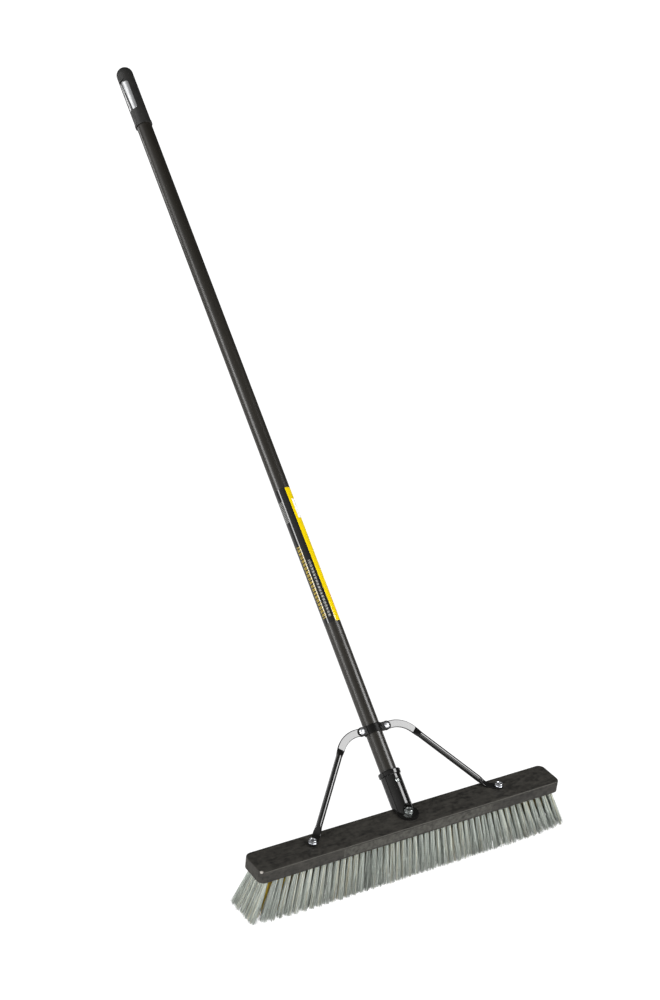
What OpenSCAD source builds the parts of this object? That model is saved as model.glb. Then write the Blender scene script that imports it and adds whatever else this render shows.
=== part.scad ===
// Push broom: a drilled head block full of bristle tufts, an angled socket with a long
// tube handle, a clamp with two brace arms, and an end cap with a fold-out hanger plate.
// Units are millimetres. The origin is on the floor under the middle of the head.
// +X runs along the head, +Y points to the side the handle leans to, +Z is up.
// Places on the handle are given as s, the distance up its axis from the head's top face,
// and n, the distance from its axis towards the front and up.

/* [Head] */
// Length of the head block
head_len = 620; // [600:5:660]
// Width of the head block
head_w = 58; // [54:1:66]
// Height of the head block
head_h = 22; // [22:1:28]
// Radius of the block's corners, seen from above
head_corner_r = 12; // [6:1:20]
// Chamfer along the block's top edge
head_chamfer = 1.5; // [0.5:0.5:3]

/* [Bristles] */
// Tufts along the head, an odd number so that one stands at the middle
tuft_cols = 47; // [43:2:49]
// Distance between tufts at the middle of the head; towards its ends they spread out
mid_pitch = 11.7; // [11.5:0.1:12]
// Rows of tufts across the head
tuft_rows = 5; // [3:2:5]
// Distance between rows
row_pitch = 10.5; // [10:0.5:11]
// From the block's end to the middle of its last tuft
end_margin = 17; // [14:0.5:20]
// Free length of a tuft
trim_len = 76; // [50:1:100]
// Radius of a tuft where it leaves the block
tuft_root_r = 3.9; // [2:0.1:4]
// Radius of a tuft at its tip
tuft_tip_r = 5.5; // [3:0.1:5.5]
// How far the outermost rows lean outwards, in degrees
row_flare = 10; // [0:1:16]
// How far the end tufts lean outwards, in degrees
end_flare = 18; // [0:1:22]

/* [Handle] */
// Lean of the handle from upright, in degrees
tilt = 50; // [45:1:55]
// Outside diameter of the handle tube
tube_d = 30; // [28:0.5:31]
// Wall of the handle tube
tube_wall = 1; // [0.8:0.1:1.5]
// From the head's top face to the tip of the cap, along the axis
handle_len = 1549; // [1200:1:1700]
// How far behind the middle of the head the axis meets its top face
axis_y = 20; // [18:0.5:22]

/* [Brace] */
// Height of the clamp above the head, along the handle
clamp_s = 147; // [130:1:170]
// From the middle to a clamp bolt
clamp_bolt_x = 25.7; // [25:0.1:28]
// From the middle to a brace screw
brace_screw_x = 193.7; // [170:0.1:230]
// Outside diameter of a brace arm where it is round
brace_d = 11; // [9:0.5:12]

/* [Cap] */
// Diameter of the cap
cap_d = 33; // [32.5:0.1:34]
// Length of the cap, tip included
cap_len = 137; // [130:1:150]
// Length of the hanger plate below its hinge pin
plate_len = 66; // [50:1:70]

/* [Hidden] */
$fn = 64;
tuft_fn = 20;
slack = 0.05;
reach = 60;

// Head
bottom_z = trim_len;
top_z = trim_len + head_h;
mid_col = (tuft_cols - 1) / 2;
mid_row = (tuft_rows - 1) / 2;
spread = (head_len / 2 - end_margin - mid_pitch * mid_col) / pow(mid_col, 3);
fan_power = 1.2;
hole_r = tuft_root_r + slack;
hole_depth = 11;
staple_h = 2;
staple_t = 0.7;
root_depth = hole_depth - staple_h;

// Socket
foot_y = 5;
foot_r = 18.5;
foot_h = 5;
barrel_r = 18;
barrel_top = 62;
collar_r = 20;
collar_low = 60.5;
collar_top = 69.5;
collar_round = 1.2;
heel_y = 27.5;
heel_slope = 12;
bolt_y = 4;
bolt_recess_r = 9.5;
bolt_r = 4;
bolt_flats = 13;
bolt_head_h = 5.3;
washer_r = 8;
washer_t = 1.6;
insert_h = 9;
shank_h = 8.5;

// Handle
tube_r = tube_d / 2;
tube_low = 30;
tube_top = handle_len - 104;
screw_s = 48.6;
screw_r = 2;
screw_head_r = 4.2;
screw_head_h = 2.4;
label_low = 349;
label_top = 613;
label_t = 0.2;

// Clamp, its plates being stacked along n
clamp_h = 15;
clamp_t = 2;
clamp_in_r = tube_r + 0.1;
ear_r = 8;
eye_n = 4.5;
flat_t = 2.6;
front_ear_n = eye_n + flat_t / 2 + 0.1;
rear_ear_n = eye_n - flat_t / 2 - 0.1 - clamp_t;
clamp_bolt_r = 2.5;
clamp_hole_r = 2.7;
clamp_dome_r = 5.5;
clamp_dome_h = 3.2;
clamp_washer_r = 5;
clamp_washer_t = 1;
clamp_nut_h = 4;
clamp_nut_flats = 8;

// Brace
brace_screw_y = 3;
brace_screw_r = 3;
brace_head_flats = 12;
brace_head_h = 5;
brace_washer_r = 8;
brace_washer_t = 1.5;
brace_wall = 1.2;
flat_w = 14;
squeeze_len = 16;
seam_w = 8;
seam_t = 0.3;
lap = 1;
tab_len = 22;
tab_heading = 42;
upper_run = 36;
upper_bend_r = 50;

// Cap, its hanger plate being in a frame with x out through the plate's middle
cap_r = cap_d / 2;
cap_low = handle_len - cap_len;
dome_s = handle_len - cap_r;
lip_r = cap_r + 0.7;
lip_h = 6;
spigot_r = tube_r - tube_wall - 0.1;
core_r = 10;
core_top = tube_top - 5;
plate_turn = 195;
pin_s = handle_len - 35;
pin_out = 13.4;
pin_r = 1;
pin_half = 7.4;
knuckle_r = 2;
knuckle_w = 8;
lug_r = 2.4;
hinge_room_r = 4.2;
hinge_room_w = 16.4;
plate_t = 1.2;
plate_w = 24.9;
plate_corner_r = 4;
plate_drop = 2.5;
plate_gap = 0.3;
pocket_gap = 0.4;
notch_r = 4.5;
notch_out = 1.5;
notch_up = 10;

// ---- Frames and small shapes ----

// A point given on the handle, as [x, n, s], in the object's own frame
function on_axis(x, n, s) = [
    x,
    axis_y + s * sin(tilt) - n * cos(tilt),
    top_z + s * cos(tilt) + n * sin(tilt)
];

// The n and s of a point at y, z
function n_of(y, z) = (z - top_z) * sin(tilt) - (y - axis_y) * cos(tilt);
function s_of(y, z) = (y - axis_y) * sin(tilt) + (z - top_z) * cos(tilt);

// Draws in the handle's frame: z up the axis, y away from the front
module along_handle() {
    translate([0, axis_y, top_z]) rotate([-tilt, 0, 0]) children();
}

// Draws in the hanger plate's frame: z up the handle, x out through the plate
module along_plate() {
    along_handle() rotate([0, 0, plate_turn]) children();
}

module both_sides() {
    children();
    mirror([1, 0, 0]) children();
}

module ring(outer, inner, h) {
    difference() {
        cylinder(r = outer, h = h);
        translate([0, 0, -1]) cylinder(r = inner, h = h + 2);
    }
}

module hexagon(flats, h) {
    cylinder(d = flats / cos(30), h = h, $fn = 6);
}

// A round head whose top is part of a sphere
module dome(r, h) {
    ball_r = (r * r + h * h) / (2 * h);
    intersection() {
        cylinder(r = r, h = h);
        translate([0, 0, h - ball_r]) sphere(r = ball_r);
    }
}

module rounded_rect(w, h, r) {
    square([w - 2 * r, h], center = true);
    square([w, h - 2 * r], center = true);
    for (x = [-1, 1], y = [-1, 1])
        translate([x * (w / 2 - r), y * (h / 2 - r)]) circle(r = r);
}

// ---- Head block and bristles ----

function tuft_x(i) = mid_pitch * (i - mid_col) + spread * pow(i - mid_col, 3);
function tuft_y(j) = (j - mid_row) * row_pitch;
function row_lean(j) = row_flare * (j - mid_row) / mid_row;
function col_lean(i) = sign(i - mid_col) * end_flare * pow(abs(i - mid_col) / mid_col, fan_power);
function full_lean(i, j) = acos(cos(row_lean(j)) * cos(col_lean(i)));

// A leaning tuft's tip doesn't reach below the floor
function tuft_len(lean) = min(trim_len, (trim_len - tuft_tip_r * sin(lean)) / cos(lean));

// Draws at tuft i, j: z up its hole, 0 where it leaves the block
module at_tuft(i, j) {
    translate([tuft_x(i), tuft_y(j), bottom_z])
        rotate([row_lean(j), -col_lean(i), 0])
            children();
}

module tuft(i, j) {
    free = tuft_len(full_lean(i, j));
    outline = [
        [0, root_depth],
        [tuft_root_r, root_depth],
        [tuft_root_r, 0],
        [tuft_tip_r, -free],
        [0, -free]
    ];
    at_tuft(i, j) rotate_extrude($fn = tuft_fn) polygon(outline);
}

module block_corner() {
    outline = [
        [0, 0],
        [head_corner_r, 0],
        [head_corner_r, head_h - head_chamfer],
        [head_corner_r - head_chamfer, head_h],
        [0, head_h]
    ];
    rotate_extrude() polygon(outline);
}

// A bar of the block's height with both top edges chamfered
module block_bar(w, len) {
    outline = [
        [-w / 2, 0],
        [w / 2, 0],
        [w / 2, head_h - head_chamfer],
        [w / 2 - head_chamfer, head_h],
        [head_chamfer - w / 2, head_h],
        [-w / 2, head_h - head_chamfer]
    ];
    rotate([90, 0, 90]) translate([0, 0, -len / 2]) linear_extrude(len) polygon(outline);
}

module block_blank() {
    block_bar(head_w, head_len - 2 * head_corner_r);
    rotate([0, 0, 90]) block_bar(head_len, head_w - 2 * head_corner_r);
    for (x = [-1, 1], y = [-1, 1])
        translate([x * (head_len / 2 - head_corner_r), y * (head_w / 2 - head_corner_r), 0])
            block_corner();
}

module head_block() {
    mouth = 3;
    color([0.24, 0.22, 0.21]) difference() {
        translate([0, 0, bottom_z]) block_blank();
        for (i = [0 : tuft_cols - 1], j = [0 : tuft_rows - 1])
            at_tuft(i, j)
                translate([0, 0, -mouth])
                    cylinder(r = hole_r, h = hole_depth + mouth, $fn = tuft_fn);
        translate([0, bolt_y, top_z - insert_h]) cylinder(r = bolt_r + 2, h = reach);
        both_sides()
            translate([brace_screw_x, brace_screw_y, top_z - insert_h])
                cylinder(r = brace_screw_r + 2, h = reach);
    }
}

module tufts_front_row() {
    color([0.62, 0.65, 0.62]) for (i = [0 : tuft_cols - 1]) tuft(i, 0);
}

module tufts_rear_row() {
    color([0.62, 0.65, 0.62]) for (i = [0 : tuft_cols - 1]) tuft(i, tuft_rows - 1);
}

module tufts_left_end() {
    color([0.58, 0.61, 0.58]) for (j = [1 : tuft_rows - 2]) tuft(0, j);
}

module tufts_right_end() {
    color([0.58, 0.61, 0.58]) for (j = [1 : tuft_rows - 2]) tuft(tuft_cols - 1, j);
}

module tufts_inner() {
    color([0.80, 0.62, 0.20])
        for (i = [1 : tuft_cols - 2], j = [1 : tuft_rows - 2])
            tuft(i, j);
}

// One flat wire staple at the bottom of every tuft hole
module tuft_staples() {
    color("silver")
        for (i = [0 : tuft_cols - 1], j = [0 : tuft_rows - 1])
            at_tuft(i, j)
                translate([0, 0, root_depth + staple_h / 2])
                    cube([2 * tuft_root_r - slack, staple_t, staple_h - slack], center = true);
}

// ---- Socket ----

// Everything above the head's top face and, behind the head, above a rising underside
module socket_room() {
    far = 120;
    side = [
        [-reach, top_z],
        [heel_y, top_z],
        [far, top_z + (far - heel_y) * tan(heel_slope)],
        [far, top_z + far],
        [-reach, top_z + far]
    ];
    rotate([90, 0, 90]) translate([0, 0, -reach]) linear_extrude(2 * reach) polygon(side);
}

module socket_collar() {
    outline = [
        [tube_r, collar_low],
        [collar_r - collar_round, collar_low],
        [collar_r, collar_low + collar_round],
        [collar_r, collar_top - collar_round],
        [collar_r - collar_round, collar_top],
        [tube_r, collar_top]
    ];
    rotate_extrude() polygon(outline);
}

module socket() {
    color([0.07, 0.07, 0.07]) difference() {
        union() {
            intersection() {
                along_handle() translate([0, 0, -reach])
                    cylinder(r = barrel_r, h = barrel_top + reach);
                socket_room();
            }
            along_handle() socket_collar();
            translate([0, foot_y, top_z]) cylinder(r = foot_r, h = foot_h);
        }
        along_handle() translate([0, 0, tube_low]) cylinder(r = tube_r + slack, h = reach);
        translate([0, bolt_y, top_z + foot_h]) cylinder(r = bolt_recess_r, h = reach);
        translate([0, bolt_y, top_z - 1]) cylinder(r = bolt_r + 0.3, h = reach);
        along_handle() translate([0, 0, screw_s]) rotate([90, 0, 0])
            cylinder(r = screw_r + slack, h = reach);
    }
}

module socket_bolt() {
    color([0.75, 0.77, 0.78]) translate([0, bolt_y, top_z - shank_h]) {
        cylinder(r = bolt_r, h = shank_h + foot_h + washer_t);
        translate([0, 0, shank_h + foot_h + washer_t]) hexagon(bolt_flats, bolt_head_h);
    }
}

module socket_washer() {
    color([0.7, 0.72, 0.73]) translate([0, bolt_y, top_z + foot_h])
        ring(washer_r, bolt_r + 0.2, washer_t);
}

// A threaded sleeve set into the block from above
module thread_insert(r) {
    ring(r + 2 - slack / 2, r + slack, insert_h);
}

module socket_insert() {
    color([0.72, 0.60, 0.32]) translate([0, bolt_y, top_z - insert_h]) thread_insert(bolt_r);
}

// ---- Handle ----

module handle_tube() {
    color([0.10, 0.10, 0.10]) along_handle() difference() {
        translate([0, 0, tube_low]) ring(tube_r, tube_r - tube_wall, tube_top - tube_low);
        translate([0, 0, screw_s]) rotate([90, 0, 0]) cylinder(r = screw_r + slack, h = reach);
    }
}

module handle_screw() {
    inside = 10;
    color([0.78, 0.79, 0.80]) along_handle() translate([0, 0, screw_s]) rotate([90, 0, 0]) {
        translate([0, 0, inside]) cylinder(r = screw_r, h = barrel_r - inside);
        translate([0, 0, barrel_r]) dome(screw_head_r, screw_head_h);
    }
}

// A thin printed wrap; its printing is plain
module handle_label() {
    color([0.93, 0.73, 0.10]) along_handle() translate([0, 0, label_low])
        ring(tube_r + label_t, tube_r + 0.01, label_top - label_low);
}

// ---- Clamp ----

// One half of the clamp: a bent strap over the tube and an ear on each side.
// ear_n is the near face of the ears, and front is 1 for the half with larger n.
module clamp_half(ear_n, front) {
    outer_r = clamp_in_r + clamp_t;
    low_n = front == 1 ? ear_n : -reach;
    high_n = front == 1 ? reach : ear_n + clamp_t;
    ear_x = sqrt(clamp_in_r * clamp_in_r - ear_n * ear_n) + slack;
    difference() {
        union() {
            intersection() {
                translate([0, 0, -clamp_h / 2]) ring(outer_r, clamp_in_r, clamp_h);
                translate([-reach, -high_n, -clamp_h])
                    cube([2 * reach, high_n - low_n, 2 * clamp_h]);
            }
            both_sides() translate([0, -ear_n, 0]) rotate([90, 0, 0]) linear_extrude(clamp_t) {
                translate([ear_x, -clamp_h / 2]) square([clamp_bolt_x - ear_x, clamp_h]);
                translate([clamp_bolt_x, 0]) circle(r = ear_r);
            }
        }
        both_sides() translate([clamp_bolt_x, reach, 0]) rotate([90, 0, 0])
            cylinder(r = clamp_hole_r, h = 2 * reach);
    }
}

module clamp_front() {
    color([0.06, 0.06, 0.06]) along_handle() translate([0, 0, clamp_s])
        clamp_half(front_ear_n, 1);
}

module clamp_rear() {
    color([0.06, 0.06, 0.06]) along_handle() translate([0, 0, clamp_s])
        clamp_half(rear_ear_n, 0);
}

// Draws on both clamp bolts' axes: z towards the front, 0 at the handle's axis
module at_clamp_bolts() {
    along_handle() both_sides() translate([clamp_bolt_x, 0, clamp_s]) rotate([90, 0, 0])
        children();
}

module clamp_bolts() {
    tail = 6;
    seat = front_ear_n + clamp_t;
    color([0.82, 0.83, 0.84]) at_clamp_bolts() {
        translate([0, 0, -tail]) cylinder(r = clamp_bolt_r, h = seat + tail);
        translate([0, 0, seat]) dome(clamp_dome_r, clamp_dome_h);
    }
}

module clamp_washers() {
    color([0.72, 0.74, 0.75]) at_clamp_bolts()
        translate([0, 0, rear_ear_n - clamp_washer_t])
            ring(clamp_washer_r, clamp_bolt_r + 0.2, clamp_washer_t);
}

module clamp_nuts() {
    color([0.72, 0.74, 0.75]) at_clamp_bolts()
        translate([0, 0, rear_ear_n - clamp_washer_t - clamp_nut_h]) difference() {
            hexagon(clamp_nut_flats, clamp_nut_h);
            translate([0, 0, -1]) cylinder(r = clamp_bolt_r + slack, h = clamp_nut_h + 2);
        }
}

// ---- Brace arms ----
// Each arm is one tube, pressed flat at both ends. Its flat upper end lies between the clamp's
// ears, runs out level and curves down, the tube then runs straight to the head, and its flat
// lower end is bent level and lies under a screw.

tab_mid = [brace_screw_x, brace_screw_y, top_z + flat_t / 2];
bend_pt = tab_mid + tab_len * [-cos(tab_heading), sin(tab_heading), 0];
bend_n = n_of(bend_pt.y, bend_pt.z);
bend_s = s_of(bend_pt.y, bend_pt.z);
arm_lean = atan2(eye_n - bend_n, clamp_s - bend_s);
arm_drop = norm([eye_n - bend_n, clamp_s - bend_s]);
to_bend = [bend_pt.x - upper_run, arm_drop - upper_bend_r];
arm_angle = atan2(to_bend.y, to_bend.x) + asin(upper_bend_r / norm(to_bend));
arc_end = [upper_run + upper_bend_r * sin(arm_angle), upper_bend_r * (1 - cos(arm_angle))];
arc_end_pt = on_axis(
    arc_end.x,
    eye_n - arc_end.y * sin(arm_lean),
    clamp_s - arc_end.y * cos(arm_lean)
);
arm_run = arc_end_pt - bend_pt;
arm_len = norm(arm_run);

// Draws in the plane of the upper flat: x away from the handle, y down the arm
module along_upper_flat() {
    translate(on_axis(0, eye_n, clamp_s)) rotate([arm_lean - 90 - tilt, 0, 0]) children();
}

// Draws on the straight tube's axis: z up it from its lower bend
module along_arm() {
    heading = atan2(arm_run.y, arm_run.x);
    polar = acos(arm_run.z / arm_len);
    translate(bend_pt) rotate([0, polar, heading]) children();
}

module upper_flat_outline() {
    wedge_r = 3 * upper_bend_r;
    middle = [upper_run, upper_bend_r];
    wedge = [
        middle,
        middle + wedge_r * [0, -1],
        middle + wedge_r * [sin(arm_angle / 2), -cos(arm_angle / 2)],
        middle + wedge_r * [sin(arm_angle), -cos(arm_angle)]
    ];
    difference() {
        union() {
            translate([clamp_bolt_x, 0]) circle(d = flat_w);
            translate([clamp_bolt_x, -flat_w / 2]) square([upper_run - clamp_bolt_x, flat_w]);
            intersection() {
                difference() {
                    translate(middle) circle(r = upper_bend_r + flat_w / 2, $fn = 128);
                    translate(middle) circle(r = upper_bend_r - flat_w / 2, $fn = 128);
                }
                polygon(wedge);
            }
            translate(arc_end) rotate(arm_angle) square([2 * lap, flat_w - lap], center = true);
        }
        translate([clamp_bolt_x, 0]) circle(r = clamp_hole_r);
    }
}

// Where the tube is squeezed from flat, at z = 0, to round. A stub runs on into the tube.
module squeezed_end() {
    r = brace_d / 2;
    squeeze = [
        [-flat_t / 2, 0],
        [flat_t / 2, 0],
        [r, squeeze_len],
        [-r, squeeze_len]
    ];
    intersection() {
        cylinder(r1 = flat_w / 2, r2 = r, h = squeeze_len);
        rotate([90, 0, 0]) translate([0, 0, -flat_w]) linear_extrude(2 * flat_w) polygon(squeeze);
    }
    translate([0, 0, squeeze_len - lap]) cylinder(r = r - slack, h = 2 * lap);
}

// A tube whose walls nearly meet in its flat lower end, where a thin seam leads out of it
module brace_arm() {
    bore_low = squeeze_len + 4;
    color([0.06, 0.06, 0.06]) difference() {
        union() {
            along_upper_flat() {
                translate([0, 0, -flat_t / 2]) linear_extrude(flat_t) upper_flat_outline();
                translate(arc_end) rotate([0, 90, arm_angle]) squeezed_end();
            }
            along_arm() {
                translate([0, 0, squeeze_len]) cylinder(d = brace_d, h = arm_len - 2 * squeeze_len);
                squeezed_end();
            }
            translate(tab_mid) rotate([0, 0, -tab_heading]) {
                translate([-tab_len / 2, 0, 0]) cube([tab_len, flat_w, flat_t], center = true);
                cylinder(d = flat_w, h = flat_t, center = true);
            }
        }
        along_arm() translate([0, 0, bore_low])
            cylinder(r = brace_d / 2 - brace_wall, h = arm_len - 2 * bore_low);
        along_arm() translate([-seam_t / 2, -seam_w / 2, -bore_low])
            cube([seam_t, seam_w, 2 * bore_low + 1]);
        translate(tab_mid) cylinder(r = brace_screw_r + 0.3, h = reach, center = true);
    }
}

module brace_arm_left() {
    mirror([1, 0, 0]) brace_arm();
}

module brace_arm_right() {
    brace_arm();
}

module at_brace_screws(z) {
    both_sides() translate([brace_screw_x, brace_screw_y, z]) children();
}

module brace_screws() {
    seat = flat_t + brace_washer_t;
    color([0.78, 0.79, 0.80]) at_brace_screws(top_z - shank_h) {
        cylinder(r = brace_screw_r, h = shank_h + seat);
        translate([0, 0, shank_h + seat]) hexagon(brace_head_flats, brace_head_h);
    }
}

module brace_washers() {
    color([0.15, 0.15, 0.15]) at_brace_screws(top_z + flat_t)
        ring(brace_washer_r, brace_screw_r + 0.2, brace_washer_t);
}

module brace_inserts() {
    color([0.72, 0.60, 0.32]) at_brace_screws(top_z - insert_h) thread_insert(brace_screw_r);
}

// ---- Cap and hanger plate ----

// Draws on the hinge pin's axis: z along the pin, 0 at its middle, x out, y down the handle
module at_pin() {
    along_plate() translate([pin_out, 0, pin_s]) rotate([-90, 0, 0]) children();
}

module centred_cylinder(r, h) {
    cylinder(r = r, h = h, center = true);
}

// A slab seen from outside as a rounded rectangle, from the pin's level down
module plate_window(w, len, r, top) {
    along_plate() translate([0, 0, pin_s - top - len / 2])
        rotate([90, 0, 90]) linear_extrude(reach) rounded_rect(w, len, r);
}

module cap_blank() {
    along_handle() {
        translate([0, 0, cap_low]) cylinder(r = cap_r, h = dome_s - cap_low);
        translate([0, 0, dome_s]) sphere(r = cap_r);
        translate([0, 0, cap_low]) cylinder(r = lip_r, h = lip_h);
    }
}

module hinge_room() {
    difference() {
        at_pin() centred_cylinder(hinge_room_r, hinge_room_w);
        at_pin() difference() {
            union() {
                centred_cylinder(lug_r, hinge_room_w + 1);
                translate([-hinge_room_r, 0, 0])
                    cube([2 * hinge_room_r, 2 * lug_r, hinge_room_w + 1], center = true);
            }
            centred_cylinder(2 * hinge_room_r, knuckle_w + 0.6);
        }
    }
}

module cap() {
    deep_r = cap_r - plate_t - pocket_gap;
    color([0.09, 0.09, 0.09]) difference() {
        cap_blank();
        along_handle() difference() {
            translate([0, 0, cap_low - 1]) cylinder(r = tube_r + slack, h = tube_top - cap_low + 1);
            translate([0, 0, cap_low - 2]) cylinder(r = spigot_r, h = reach + cap_low);
        }
        along_handle() translate([0, 0, cap_low - 1])
            cylinder(r = core_r, h = core_top - cap_low + 1);
        difference() {
            plate_window(plate_w + 2 * plate_gap, plate_len - plate_drop + 2 * plate_gap,
                plate_corner_r + plate_gap, plate_drop - plate_gap);
            along_handle() translate([0, 0, cap_low]) cylinder(r = deep_r, h = cap_len);
        }
        hinge_room();
        at_pin() centred_cylinder(pin_r + 0.02, 2 * pin_half + 0.2);
        along_plate()
            translate([cap_r - notch_r, -plate_w / 2 - notch_out, pin_s - plate_len + notch_up])
                sphere(r = notch_r);
    }
}

module hanger_plate() {
    tongue = [
        [0.4, 0],
        [1.9, 4.4],
        [2.5, 4.4],
        [knuckle_r, 0]
    ];
    color([0.85, 0.86, 0.87]) difference() {
        union() {
            intersection() {
                along_handle() translate([0, 0, cap_low]) ring(cap_r, cap_r - plate_t, cap_len);
                plate_window(plate_w, plate_len - plate_drop, plate_corner_r, plate_drop);
            }
            at_pin() {
                centred_cylinder(knuckle_r, knuckle_w);
                translate([0, 0, -knuckle_w / 2]) linear_extrude(knuckle_w) polygon(tongue);
            }
        }
        at_pin() centred_cylinder(pin_r + slack, knuckle_w + 1);
    }
}

module hanger_pin() {
    color([0.75, 0.76, 0.77]) at_pin() centred_cylinder(pin_r, 2 * pin_half);
}

head_block();
tufts_front_row();
tufts_rear_row();
tufts_left_end();
tufts_right_end();
tufts_inner();
tuft_staples();
socket();
socket_bolt();
socket_washer();
socket_insert();
handle_tube();
handle_screw();
handle_label();
clamp_front();
clamp_rear();
clamp_bolts();
clamp_washers();
clamp_nuts();
brace_arm_left();
brace_arm_right();
brace_screws();
brace_washers();
brace_inserts();
cap();
hanger_plate();
hanger_pin();
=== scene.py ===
"""Looks of the push broom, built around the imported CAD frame. Metres, +Z up, +X along the head."""
import math
import random

import bmesh
import bpy
from mathutils import Matrix, Vector


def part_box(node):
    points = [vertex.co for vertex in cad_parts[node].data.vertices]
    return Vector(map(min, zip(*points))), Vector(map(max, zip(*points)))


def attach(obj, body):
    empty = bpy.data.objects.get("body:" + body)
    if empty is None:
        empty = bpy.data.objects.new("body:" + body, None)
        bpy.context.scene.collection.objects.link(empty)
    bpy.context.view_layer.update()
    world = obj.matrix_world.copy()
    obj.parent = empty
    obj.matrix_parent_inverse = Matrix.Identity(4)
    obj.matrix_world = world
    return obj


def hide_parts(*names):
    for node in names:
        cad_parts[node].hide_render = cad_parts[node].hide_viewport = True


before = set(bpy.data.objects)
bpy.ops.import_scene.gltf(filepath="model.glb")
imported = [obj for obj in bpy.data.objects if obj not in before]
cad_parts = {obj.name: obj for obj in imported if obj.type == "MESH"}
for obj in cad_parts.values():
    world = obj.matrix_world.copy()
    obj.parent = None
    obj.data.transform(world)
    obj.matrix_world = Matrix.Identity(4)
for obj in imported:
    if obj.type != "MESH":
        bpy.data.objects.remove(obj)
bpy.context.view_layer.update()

MM = 0.001
TILT = math.radians(50)

# Head block
BLOCK_CORNER = 12 * MM
BLOCK_TOP_ROUND = 2.2 * MM
BLOCK_LOW_ROUND = 0.7 * MM
# Width of the painted highlight along the block's front top edge
EDGE_HIGHLIGHT_BAND = 1.1 * MM
PANEL_X = (-150 * MM, 158 * MM)
PANEL_EDGE = 3 * MM
SCUFF_R = 2.8 * MM
INSERT_DEPTH = 9 * MM
INSERT_WALL = 2 * MM

# Screws and bolts
SOCKET_BOLT_R = 4 * MM
SOCKET_BOLT_FLATS = 13 * MM
SOCKET_BOLT_FLANGE_R = 7.5 * MM
SOCKET_BOLT_HEAD = 5.3 * MM
SOCKET_BOLT_TURN = math.radians(8)
BRACE_SCREW_R = 3 * MM
BRACE_SCREW_FLATS = 12 * MM
BRACE_SCREW_FLANGE_R = 7.2 * MM
BRACE_SCREW_HEAD = 5 * MM
BRACE_SCREW_TURN = math.radians(14)
BRACE_SCREW_PLAY = 0.3 * MM
FLANGE = 0.9 * MM

# Bristles
COLS = 47
ROWS = 5
MID_COL = (COLS - 1) / 2
MID_ROW = (ROWS - 1) / 2
MID_PITCH = 11.7 * MM
ROW_PITCH = 10.5 * MM
END_MARGIN = 17 * MM
HOLE_R = 3.95 * MM
HOLE_DEPTH = 11 * MM
ROOT_R = 3.2 * MM
TIP_R = 7.4 * MM
FIRST_GAP = 3.5 * MM
FIBRE_R = 0.31 * MM
FIBRE_WAVE = 0.4 * MM
FIBRE_STRAY = 0.9 * MM
FIBRE_UNEVEN = 0.5 * MM
OUTER_FIBRES = 120
INNER_FIBRES = 70
# Columns whose inner tufts stay bright gold; past them the gold is drawn darker as painted shade
LIT_GOLD_COLS = 4

# Bristles' lean, in degrees
ROW_FLARE = 10
LEFT_FLARE = 18.5
RIGHT_FLARE = 23.5
FAN_POWER = 1.2

# Brace arms
TAB_HEADING = math.radians(42)
TAB_LEN = 22 * MM
FLAT_W = 7 * MM
FLAT_T = 1.3 * MM
SQUEEZE_LEN = 16 * MM
LOWER_BEND = 4 * MM
ARM_R = 5.5 * MM
CLAMP_BOLT_R = 2.5 * MM
UPPER_RUN = 36 * MM
UPPER_BEND_R = 50 * MM
WASHER_R = 5 * MM
WASHER_TO_FLAT = 3.9 * MM
TIP_STEPS = 10
TIP_TURN = math.radians(9.6)
BEND_STEPS = 18
TUBE_STEPS = 12
TAB_STEPS = 8

# Label, in millimetres along the handle
LABEL = (349, 613)
LABEL_WORDS = (360, 470)
LABEL_LONG_WORDS = (360, 500)
LABEL_BLANK = (552, 590)
LABEL_PATCH = (548, 590)
LABEL_STRIPE = (362, 418)

# Hanger plate's crease, where shade is painted, in millimetres along the handle and in degrees round it
CREASE = (1455, 1525)
CREASE_TURN = (-66.0, -84.0)


# ---- Places read from the frame ----

def box(node):
    low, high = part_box(node)
    return Vector(low), Vector(high)


def middle(node):
    low, high = box(node)
    return (low + high) / 2


HEAD_LOW, HEAD_HIGH = box("head_block")
HEAD_LEN = HEAD_HIGH.x - HEAD_LOW.x
HEAD_W = HEAD_HIGH.y - HEAD_LOW.y
HEAD_BOTTOM = HEAD_LOW.z
HEAD_TOP = HEAD_HIGH.z
SPREAD = (HEAD_LEN / 2 - END_MARGIN - MID_PITCH * MID_COL) / MID_COL ** 3


def handle_frame():
    """The handle's own frame: z up its axis from the head's top face, y away from the front."""
    centre = middle("handle_tube")
    foot_y = centre.y - (centre.z - HEAD_TOP) * math.tan(TILT)
    return Matrix.Translation((0, foot_y, HEAD_TOP)) @ Matrix.Rotation(-TILT, 4, "X")


HANDLE = handle_frame()


def round_places(node):
    """Where a pair of round upright things stands, one on each side of the middle."""
    low, high = box(node)
    radius = (high.y - low.y) / 2
    return [Vector((side * (high.x - radius), (low.y + high.y) / 2, 0)) for side in (-1, 1)]


# ---- Meshes ----

def mesh_from(bm, name, sharp=35):
    """The bmesh as a smooth-shaded mesh, with edges sharper than the angle left sharp."""
    bmesh.ops.recalc_face_normals(bm, faces=bm.faces)
    mesh = bpy.data.meshes.new(name)
    bm.to_mesh(mesh)
    bm.free()
    mesh.shade_smooth()
    mesh.set_sharp_from_angle(angle=math.radians(sharp))
    return mesh


def link(name, mesh):
    """An object of the mesh, in the scene."""
    piece = bpy.data.objects.new(name, mesh)
    bpy.context.scene.collection.objects.link(piece)
    return piece


def settle(piece):
    """Makes what the modifiers give the piece's own mesh."""
    graph = bpy.context.evaluated_depsgraph_get()
    mesh = bpy.data.meshes.new_from_object(piece.evaluated_get(graph))
    piece.modifiers.clear()
    piece.data = mesh


def even_normals(piece):
    """Lets large faces set the normals, so that flat faces shade flat up to their rounded edges."""
    piece.modifiers.new("normals", "WEIGHTED_NORMAL").keep_sharp = True


def place_piece(piece, material, nodes, body="broom"):
    """Hangs the piece on its body, in place of its CAD nodes."""
    piece.data.materials.clear()
    piece.data.materials.append(material)
    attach(piece, body)
    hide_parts(*nodes)


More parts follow.
